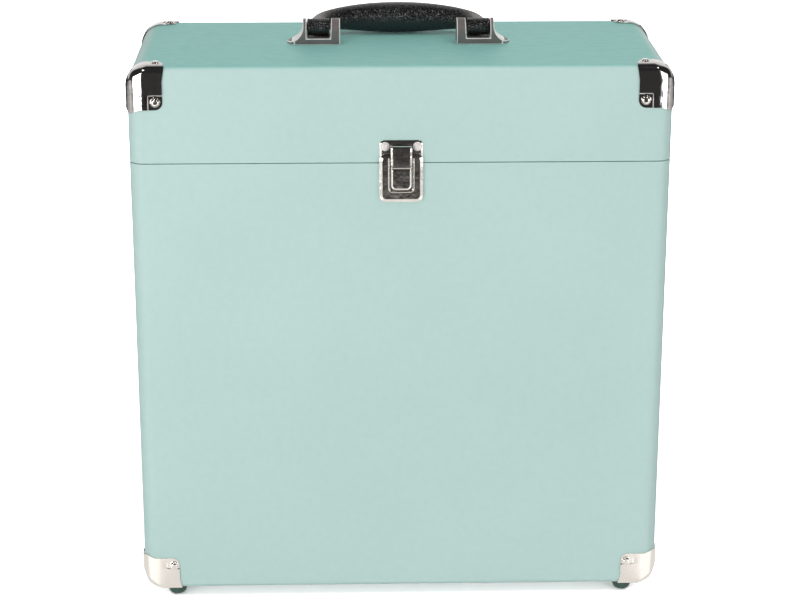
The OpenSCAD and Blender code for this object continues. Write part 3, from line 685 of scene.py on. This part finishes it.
# %% [markdown]
# ## Draw latch
# The latch is drawn flat, as its maker would draw it: x across, y up from the seam, and z out
# from the front of the case. One matrix then stands the drawing up against the front. A sheet
# starts as an outline whose corners are rounded by a vertex bevel, which keeps the number of
# points small and each radius a plain number.

# %% Flat outlines
at_latch = Matrix.Translation((0, -half_d, seam_z)) @ Matrix.Rotation(math.pi / 2, 4, "X")


def oblong(half, low, high, low_r, high_r):
    """An oblong outline, as wide on both sides of zero, from low to high."""
    rounds = {number: radius for number, radius in
              ((0, low_r), (1, low_r), (2, high_r), (3, high_r)) if radius}
    return outline([(-half, low), (half, low), (half, high), (-half, high)], rounds)


def push_out(bm, start, end):
    """Moves an outline to start and extrudes it to end."""
    bmesh.ops.translate(bm, vec=(0, 0, start), verts=bm.verts)
    made = bmesh.ops.extrude_face_region(bm, geom=bm.faces[:])["geom"]
    bmesh.ops.translate(bm, vec=(0, 0, end - start),
                        verts=[item for item in made if isinstance(item, bmesh.types.BMVert)])
    bmesh.ops.recalc_face_normals(bm, faces=bm.faces)


def front_face(bm):
    return max(bm.faces, key=lambda face: face.calc_center_median().z)


def open_up(bm, gone):
    """Deletes each face whose middle passes the test."""
    faces = [face for face in bm.faces if gone(face.calc_center_median())]
    bmesh.ops.delete(bm, geom=faces, context="FACES")


def soften(bm, width, segments=2, over=40, material=-1, clamp=True):
    """Rounds every edge sharper than an angle, as tumbling does with pressed parts."""
    return with_modifier(bm, "BEVEL", width=width, segments=segments, limit_method="ANGLE",
                         angle_limit=math.radians(over), use_clamp_overlap=clamp,
                         material=material)


def on_front(name, body, node, *parts):
    """Stands the parts of a drawing up against the front, as one nickel piece."""
    bm = put_together(*parts)
    bmesh.ops.transform(bm, matrix=at_latch, verts=bm.verts)
    finish_piece(bm, name, body, nickel, [node])

# %% [markdown]
# The plate is a shallow pressed dish. Its outline is pushed out to the shoulder, the front
# face is inset and raised, and that sloping border is what shines all round in the photograph.
# Above the seam the plate has no wall behind its border, because the strike of the lid
# slides in under it there. A raised rim shaped like a U guards the lever.

# %% Latch plate
def dish(half, low, high, low_r, high_r, start, shoulder, end, border):
    """An oblong pushed out to its shoulder, with a sloping border up to its flat front."""
    bm = oblong(half, low, high, low_r, high_r)
    push_out(bm, start, shoulder)
    bmesh.ops.inset_region(bm, faces=[front_face(bm)], thickness=border,
                           depth=end - shoulder, use_even_offset=True)
    return bm


bm = dish(half=14.3, low=-26, high=6.6, low_r=4.4, high_r=4.4, start=0, shoulder=1.75,
          end=2.6, border=2.0)
open_up(bm, lambda middle: middle.z < 0.01)
wall_top, wall_out = -0.4, 1.6
score(bm, (0, wall_top, 0), (0, 1, 0))
score(bm, (0, 0, wall_out), (0, 0, 1))
open_up(bm, lambda middle: middle.y > wall_top and middle.z < wall_out)
bm = with_modifier(bm, "SOLIDIFY", thickness=0.9, offset=-1, use_even_offset=True)
tray = soften(bm, 0.3, over=18)

bm = oblong(half=8.6, low=-19, high=9, low_r=3, high_r=0)
bmesh.ops.inset_region(bm, faces=bm.faces[:], thickness=1.2, use_boundary=True,
                       use_even_offset=True)
inner = [face for face in bm.faces if len(face.verts) > 4]
bmesh.ops.delete(bm, geom=inner, context="FACES")
cut(bm, (0, 4.3, 0), (0, 1, 0))
push_out(bm, 2.2, 5.2)
rim = soften(bm, 0.45, segments=3, over=50)

on_front("latch_dish", "case_body", "latch_plate", tray, rim)

# %% [markdown]
# The lever is a smaller dish turned back on three sides, with an arm on each side that runs up
# to the pivots. The arms are drawn from the side, so they get a matrix of their own that turns
# a drawing in depth and height into the drawing seen from the front.

# %% Lever
from_side = Matrix(((0, 0, 1, 0), (0, 1, 0, 0), (1, 0, 0, 0), (0, 0, 0, 1)))


def side_cut(points, rounds, from_x, to_x):
    """A profile drawn in depth and height, pushed across from one x to another."""
    bm = outline(points, rounds, segments=5)
    push_out(bm, from_x, to_x)
    bmesh.ops.transform(bm, matrix=from_side, verts=bm.verts)
    bmesh.ops.recalc_face_normals(bm, faces=bm.faces)
    return bm


lever_top, lever_back = -2.9, 3
bm = dish(half=6.7, low=-17.1, high=lever_top, low_r=3.2, high_r=0, start=lever_back,
          shoulder=5.3, end=6.0, border=1.1)
open_up(bm, lambda middle: middle.z < lever_back + 0.01 or middle.y > lever_top - 0.01)
bm = with_modifier(bm, "SOLIDIFY", thickness=0.75, offset=-1, use_even_offset=True)
lever_dish = soften(bm, 0.28, segments=3, over=18)
arm = [(3, -9), (5.0, -9), (5.0, -2.6), (6.4, -2.6), (6.4, -0.8), (5.0, -0.8), (5.0, 3.6),
       (3, 3.6)]
arm_rounds = {3: 0.88, 4: 0.88, 6: 0.95, 7: 0.95}
arms = [soften(side_cut(arm, arm_rounds, side * 5.8, side * 6.68), 0.12)
        for side in both]
on_front("latch_lever_dish", "latch_lever", "latch_lever", lever_dish, *arms)

# %% [markdown]
# The hasp is a strip that is rolled round the lever's pin at its lower end and curled back at
# its upper end, where it catches the strike. It's drawn from the side as one closed profile
# and pushed across in three steps, so that the outer steps can fall back a little: the
# strip's long sides are rolled over, and they carry the two brightest lines of the latch.

# %% Hasp
profile = [(5.2, -0.9), (6.0, -0.9), (6.0, 12.3), (3.1, 12.3), (3.1, 11.5), (5.2, 11.5)]
bm = outline(profile, {2: 1.7, 5: 0.9}, segments=5)
stations = (-6.7, -5.9, -4.9, 4.9, 5.9, 6.7)
bmesh.ops.translate(bm, vec=(0, 0, stations[0]), verts=bm.verts)
for here, there in zip(stations, stations[1:]):
    made = bmesh.ops.extrude_face_region(bm, geom=[front_face(bm)])["geom"]
    bmesh.ops.translate(bm, vec=(0, 0, there - here),
                        verts=[item for item in made if isinstance(item, bmesh.types.BMVert)])
# Each step leaves the face that it started from inside the strip
inside = [face for face in bm.faces if abs(face.normal.z) > 0.9
          and min(abs(vert.co.z) for vert in face.verts) < 6.6]
bmesh.ops.delete(bm, geom=inside, context="FACES")
bmesh.ops.transform(bm, matrix=from_side, verts=bm.verts)
# Roll the long sides over, and widen the strip a little towards its curl
strip_front, strip_top = 5.5, 11.8
for vert in bm.verts:
    outer = abs(vert.co.x)
    fall = 0.55 if outer > 6.6 else 0.2 if outer > 5.8 else 0
    if vert.co.z > strip_front:
        vert.co.z -= fall
    if vert.co.y > strip_top:
        vert.co.y -= fall * 0.6
    vert.co.x *= 1 + 0.045 * max(0, vert.co.y) / 12
bmesh.ops.recalc_face_normals(bm, faces=bm.faces)
strip = soften(bm, 0.14, over=35)
bead = bmesh.new()
bead_r = 0.9
bmesh.ops.create_cone(bead, cap_ends=True, segments=24, radius1=bead_r, radius2=bead_r,
                      depth=11.3)
bmesh.ops.rotate(bead, matrix=Matrix.Rotation(math.pi / 2, 3, "Y"), verts=bead.verts)
bmesh.ops.translate(bead, vec=(0, -1.7, 5.5), verts=bead.verts)
on_front("latch_hasp_strip", "latch_hasp", "latch_hasp", strip, soften(bead, 0.2))

# %% [markdown]
# The strike is a flat sheet on the lid with a lip for the hasp to pull on. Its two rivets are
# plain domes, duller than the rest because their plating was brushed and not polished.

# %% Strike and its rivets
bm = dish(half=14.1, low=0.4, high=15.4, low_r=0, high_r=3, start=0, shoulder=0.6, end=1.2,
          border=1.4)
sheet = soften(bm, 0.18, over=18)
lip = soften(side_cut([(0.6, 8.6), (4.6, 8.6), (4.6, 9.9), (0.6, 9.9)], {}, -5.4, 5.4), 0.25)
on_front("latch_strike", "lid", "strike_plate", sheet, lip)

rivet_satin = plated_finish("rivet_satin", (0.98, 0.93, 0.91), dull=0.40, ripple=0.12,
                            metal=0.6)
places = [on_face(-1, side * 10.65, 1.2, seam_z + 11.3) for side in both]
rivets("rivets_strike", "lid", "strike_rivets", rivet_satin, places, radius=3.0, height=1.3,
       collar=0.25)
# %% [markdown]
# ## Handle brackets
# A cast bracket is what three drawings have in common: seen from the front it has two ears, a
# saddle and a hollow flank, seen from above it ends in a blunt point, and seen from the side its
# ears are round. Each drawing is pushed through as a prism, and a Boolean modifier keeps only
# what all three share. One bevel goes over all its edges, and the bevel's faces and the hollow
# flanks take a second, brighter finish. It is partly the polish a casting has where the polishing
# wheel reached it, and partly a painted highlight for the edges and flanks that catch the lamps.

# %% Two brackets
def prism(points, rounds, start, end, turn):
    """An outline pushed from start to end and turned into place."""
    bm = outline(points, rounds, segments=10)
    push_out(bm, start, end)
    bmesh.ops.transform(bm, matrix=turn, verts=bm.verts)
    bmesh.ops.recalc_face_normals(bm, faces=bm.faces)
    return bm


def bracket(side):
    depth, ear_top, half = 17, 16.6, 8.5
    from_front = Matrix.Rotation(math.pi / 2, 4, "X")
    front = [(39.2, 0), (75, 0), (75, 1.8), (64.3, 1.8), (64.3, 16.6), (61.7, 16.2),
             (61.7, 4.4), (45.8, 4.4), (45.2, 16.6), (39.2, 16.6)]
    plan = [(30, -half), (70, -half), (72.6, -6.3), (75, -1.2), (75, 1.2), (72.6, 6.3),
            (70, half), (30, half)]
    ears = [(-half, -1), (half, -1), (half, ear_top), (-half, ear_top)]
    across = Matrix(((0, 0, 1, 0), (1, 0, 0, 0), (0, 1, 0, 0), (0, 0, 0, 1)))
    bm = prism(front, {3: 10.6}, -depth, depth, from_front)
    bm = combine(bm, prism(plan, {}, -1, 20, Matrix.Identity(4)), "INTERSECT")
    bm = combine(bm, prism(ears, {2: 8.4, 3: 8.4}, 20, 90, across), "INTERSECT")
    bmesh.ops.dissolve_limit(bm, angle_limit=math.radians(1), verts=bm.verts, edges=bm.edges)
    # The flanks take the brighter finish here and the bevel's faces below: painted highlight as
    # well as polish
    for face in bm.faces:
        face.material_index = 1 if abs(face.normal.y) < 0.3 and face.normal.x > 0.3 else 0
    bm = soften(bm, 0.6, segments=2, over=28, material=1, clamp=False)
    bmesh.ops.scale(bm, vec=(side, 1, 1), verts=bm.verts)
    bmesh.ops.translate(bm, vec=(0, 0, top_z), verts=bm.verts)
    return bm


for side, side_name in sides:
    finish_piece(bracket(side), f"cast_bracket_{side_name}", "lid", bracket_metal,
                 [f"handle_bracket_{side_name}"], sharp=30,
                 second=bracket_polish_and_painted_highlight)

# %% [markdown]
# ## Grip
# The grip is a bow that swells towards its middle. Rings are set along a path, each turned
# to face along it and scaled to the thickness there, and neighbouring rings are bridged. The
# path is a squared-off half circle: between the two barrels it runs nearly straight.
# Each barrel is a small profile spun round its pin, with a groove near both ends, so that it
# has a real hole for the pin.

# %% Bow and barrels
pivot_z = top_z + 10.8
reach, half_span = 33.5, 54


def bow_point(turn):
    """A point on the grip's middle line; turn goes from 0 at the right to 1 at the left."""
    angle = math.pi * turn
    power = 2 / 3.2
    across = math.copysign(abs(math.cos(angle)) ** power, math.cos(angle))
    return Vector((half_span * across, reach * abs(math.sin(angle)) ** power, 0))


def bow(rings=56, sides=32):
    bm = bmesh.new()
    last = []
    for number in range(rings + 1):
        turn = 0.5 - 0.5 * math.cos(math.pi * number / rings)
        turn = 0.35 * turn + 0.65 * number / rings
        here = bow_point(turn)
        along = bow_point(min(1, turn + 0.004)) - bow_point(max(0, turn - 0.004))
        if number in (0, rings):
            along = Vector((0, 1 if number == 0 else -1, 0))
        thick = 5.6 + 4.8 * math.cos(math.pi / 2 * min(1, abs(here.x) / half_span))
        facing = along.to_track_quat("Z", "Y").to_matrix().to_4x4()
        circle = bmesh.ops.create_circle(bm, cap_ends=number in (0, rings), segments=sides,
                                         radius=thick)["verts"]
        bmesh.ops.transform(bm, matrix=Matrix.Translation(here) @ facing, verts=circle)
        edges = [edge for edge in bm.edges if edge.verts[0] in circle and edge.verts[1] in circle]
        if last:
            bmesh.ops.bridge_loops(bm, edges=last + edges)
        last = edges
    return bm


inner, outer = -7.7, 7.3
barrel_profile = [(2.06, inner), (5.8, inner), (5.8, inner + 1.6), (5.5, inner + 1.9),
                  (5.5, inner + 2.2), (5.75, inner + 2.5), (5.75, outer - 2.5),
                  (5.5, outer - 2.2), (5.5, outer - 1.9), (5.8, outer - 1.6), (5.8, outer),
                  (2.06, outer)]
parts = [bow()]
for side in both:
    barrel = turned(barrel_profile, {1: 0.7, 10: 0.7})
    bmesh.ops.scale(barrel, vec=(side, 1, 1), verts=barrel.verts)
    bmesh.ops.translate(barrel, vec=(side * half_span, 0, 0), verts=barrel.verts)
    parts.append(barrel)
bm = put_together(*parts)
bmesh.ops.translate(bm, vec=(0, 0, pivot_z), verts=bm.verts)
finish_piece(bm, "grip_bow", "handle", grip_black, ["handle_grip"], sharp=30)
# %% [markdown]
# ## Hinges
# Two butt hinges hold the back. Each leaf is a flat sheet with notches where the other
# leaf's barrels turn, and each barrel is a profile spun round the pin. The leaves are drawn
# like the latch, but stand against the back, so their matrix looks the other way.

# %% Leaves, barrels and rivets
hinge_x, leaf_t = 95, 1.2


def hinge_leaf(side, up):
    if up > 0:
        points = [(19, 22), (-19, 22), (-19, 2.9), (-5.8, 2.9), (-5.8, 0.4), (5.8, 0.4),
                  (5.8, 2.9), (19, 2.9)]
        rounds = {0: 3, 1: 3, 2: 1, 7: 1}
        spans = [(-5.8, 5.8)]
    else:
        points = [(-19, -22), (19, -22), (19, -0.4), (6.1, -0.4), (6.1, -2.9), (-6.1, -2.9),
                  (-6.1, -0.4), (-19, -0.4)]
        rounds = {0: 3, 1: 3}
        spans = [(-19, -6), (6, 19)]
    leaf = outline(points, rounds)
    push_out(leaf, 0, leaf_t)
    parts = [soften(leaf, 0.25, over=50)]
    for start, end in spans:
        barrel = turned([(1.16, start), (2.2, start), (2.2, end), (1.16, end)],
                        {1: 0.35, 2: 0.35}, steps=24)
        bmesh.ops.translate(barrel, vec=(0, 0, 2.5), verts=barrel.verts)
        parts.append(barrel)
    bm = put_together(*parts)
    at_back = (Matrix.Translation((side * hinge_x, half_d, seam_z))
               @ Matrix(((1, 0, 0, 0), (0, 0, 1, 0), (0, 1, 0, 0), (0, 0, 0, 1))))
    bmesh.ops.transform(bm, matrix=at_back, verts=bm.verts)
    return bm


for side, side_name in sides:
    for up, up_name, body in ((-1, "lower", "case_body"), (1, "upper", "lid")):
        finish_piece(hinge_leaf(side, up), f"leaf_{side_name}_{up_name}", body, nickel,
                     [f"hinge_{side_name}_{up_name}_leaf"])

for up, name, body, node in ((-1, "rivets_hinge_body", "case_body", "hinge_body_rivets"),
                             (1, "rivets_hinge_lid", "lid", "hinge_lid_rivets")):
    places = [on_face(1, side * hinge_x + shift, leaf_t, seam_z + up * 13)
              for side in both for shift in (-12.5, 12.5)]
    rivets(name, body, node, rivet_satin, places, radius=2.6, height=0.9, collar=0.25)

# %% [markdown]
# ## Studio
# The case stands on a white floor. Its metal is a mirror, so what stands round it matters as
# much as the lamps: two wide soft lamps at the front corners of the room draw the bright
# bands down the upper corners, a dark room in front of the case makes the flat metal dark,
# and a white floor close to it makes the lower corners light.
# The Light Path node lets the floor and the room look one way to the camera, another way in a
# reflection, and act plainly on everything else. To the camera the floor is white far away, and
# near the case its own lit surface, made brighter, keeps the shadow. In reflections the floor is
# a painted glow: bright near the case, with a painted pool of light before each corner, and dark
# further out.

# %% Floor
def floor_finish():
    material, tree, shader, where = start_finish("studio_floor")
    tone = noise(tree, where, 300, detail=2)
    shade = blend_colours(tree, tone, linear(229, 222, 223), linear(232, 225, 226))
    feed(tree, shader, {"Base Color": shade, "Roughness": 0.9, "Specular IOR Level": 0.0})
    path = add(tree, "LightPath", {})
    flat = add(tree, "VectorMath", {0: where, 1: (0.36, 1, 0)}, operation="MULTIPLY")
    reach = add(tree, "VectorMath", {0: flat.outputs["Vector"]}, operation="LENGTH")
    near = ramp(tree, reach.outputs["Value"], 0.45, 1.12, 0.85, 0.03)
    away = add(tree, "VectorMath", {0: where}, operation="LENGTH")
    far_white = ramp(tree, away.outputs["Value"], 0.24, 0.6, 0.04, 1.0)
    glow = add(tree, "Emission", {"Color": (1, 1, 1, 1), "Strength": far_white})
    twice = add(tree, "AddShader", {0: shader.outputs[0], 1: shader.outputs[0]})
    fourfold = add(tree, "AddShader", {0: twice.outputs[0], 1: twice.outputs[0]})
    seen = add(tree, "AddShader", {0: fourfold.outputs[0], 1: glow.outputs[0]})
    spot = add(tree, "SeparateXYZ", {"Vector": where})
    # Painted pool of light: the floor glows brighter before each lower corner, seen only in
    # reflections
    beside = ramp(tree, join(tree, "ABSOLUTE", spot.outputs["X"], 0), 0.166, 0.176, 0, 0.5)
    in_front = ramp(tree, spot.outputs["Y"], -0.082, -0.09, 0, 1)
    painted_light_pool = join(tree, "ADD", join(tree, "MULTIPLY", beside, in_front), 1)
    # Painted reflection: in reflections the floor shows this glow, not its lit surface
    painted_reflection_glow = add(tree, "Emission", {"Color": (1, 0.985, 0.96, 1),
                                    "Strength": join(tree, "MULTIPLY", near, painted_light_pool)})
    plain = add(tree, "MixShader", {0: path.outputs["Is Camera Ray"], 1: shader.outputs[0],
                                    2: seen.outputs[0]})
    whole = add(tree, "MixShader", {0: path.outputs["Is Glossy Ray"], 1: plain.outputs[0],
                                    2: painted_reflection_glow.outputs[0]})
    feed(tree, tree.nodes["Material Output"], {"Surface": whole.outputs[0]})
    return material


bm = bmesh.new()
bmesh.ops.create_grid(bm, x_segments=2, y_segments=2, size=6)
mesh = bpy.data.meshes.new("studio_floor")
bm.to_mesh(mesh)
bm.free()
mesh.materials.append(floor_finish())
floor = bpy.data.objects.new("studio_floor", mesh)
bpy.context.scene.collection.objects.link(floor)

# %% World
world = bpy.data.worlds.new("studio_room")
bpy.context.scene.world = world
world.use_nodes = True
tree = world.node_tree
room = tree.nodes["Background"]
feed(tree, room, {"Color": (0.97, 0.98, 1.0, 1), "Strength": 0.30})
white = add(tree, "Background", {"Color": (1, 1, 1, 1), "Strength": 1.0})
way = add(tree, "SeparateXYZ", {"Vector": add(tree, "TexCoord", {}).outputs["Generated"]})
behind = ramp(tree, way.outputs["Y"], 0.1, 0.75, 0.03, 1.0)
shiny = add(tree, "Background", {"Color": (1, 0.98, 0.96, 1), "Strength": behind})
path = add(tree, "LightPath", {})
lit = add(tree, "MixShader", {0: path.outputs["Is Glossy Ray"], 1: room.outputs[0],
                              2: shiny.outputs[0]})
whole = add(tree, "MixShader", {0: path.outputs["Is Camera Ray"], 1: lit.outputs[0],
                                2: white.outputs[0]})
feed(tree, tree.nodes["World Output"], {"Surface": whole.outputs[0]})

# %% Lamps
def soft_lamp(name, place, aim, width, height, power, mirrored=True):
    light = bpy.data.lights.new(name, "AREA")
    light.shape = "RECTANGLE"
    light.size, light.size_y = width, height
    light.energy = power
    lamp = bpy.data.objects.new(name, light)
    lamp.location = place
    lamp.visible_glossy = mirrored
    lamp.rotation_euler = (Vector(aim) - Vector(place)).to_track_quat("-Z", "Y").to_euler()
    bpy.context.scene.collection.objects.link(lamp)


soft_lamp("lamp_left", (-0.90, -1.08, 0.22), (0, 0, 0.22), 1.10, 0.42, 7.4)
soft_lamp("lamp_right", (0.98, -1.05, 0.22), (0, 0, 0.22), 1.00, 0.42, 4.7)
soft_lamp("lamp_high_left", (-0.57, -0.87, 1.22), (0, 0, 0.4), 0.16, 0.16, 2.1)
soft_lamp("lamp_high_right", (0.57, -0.87, 1.22), (0, 0, 0.4), 0.16, 0.16, 2.1)
soft_lamp("lamp_back", (0.2, 1.6, 0.5), (0, 0, 0.25), 1.2, 0.8, 10, mirrored=False)
soft_lamp("lamp_above", (0.1, -0.1, 1.6), (0, 0, 0.3), 1.2, 1.0, 4.6, mirrored=False)

# %% [markdown]
# ## Camera
# The photograph was taken from a little over the lid and nearly square on. Place, turn and
# focal length are those that put the corners of the case where the photograph has them.

# %% Camera
lens = bpy.data.cameras.new("camera")
lens.lens = 98.9
lens.sensor_width = 36
lens.sensor_fit = "HORIZONTAL"
lens.clip_start = 0.01
camera = bpy.data.objects.new("camera", lens)
camera.matrix_world = (Matrix.Translation((-0.03917, -1.46308, 0.6799))
                       @ Matrix.Rotation(math.radians(-1.58914), 4, "Z")
                       @ Matrix.Rotation(math.radians(71.61968), 4, "X")
                       @ Matrix.Rotation(math.radians(0.06945), 4, "Z"))
bpy.context.scene.collection.objects.link(camera)
bpy.context.scene.camera = camera
bpy.context.scene.view_settings.view_transform = "Standard"
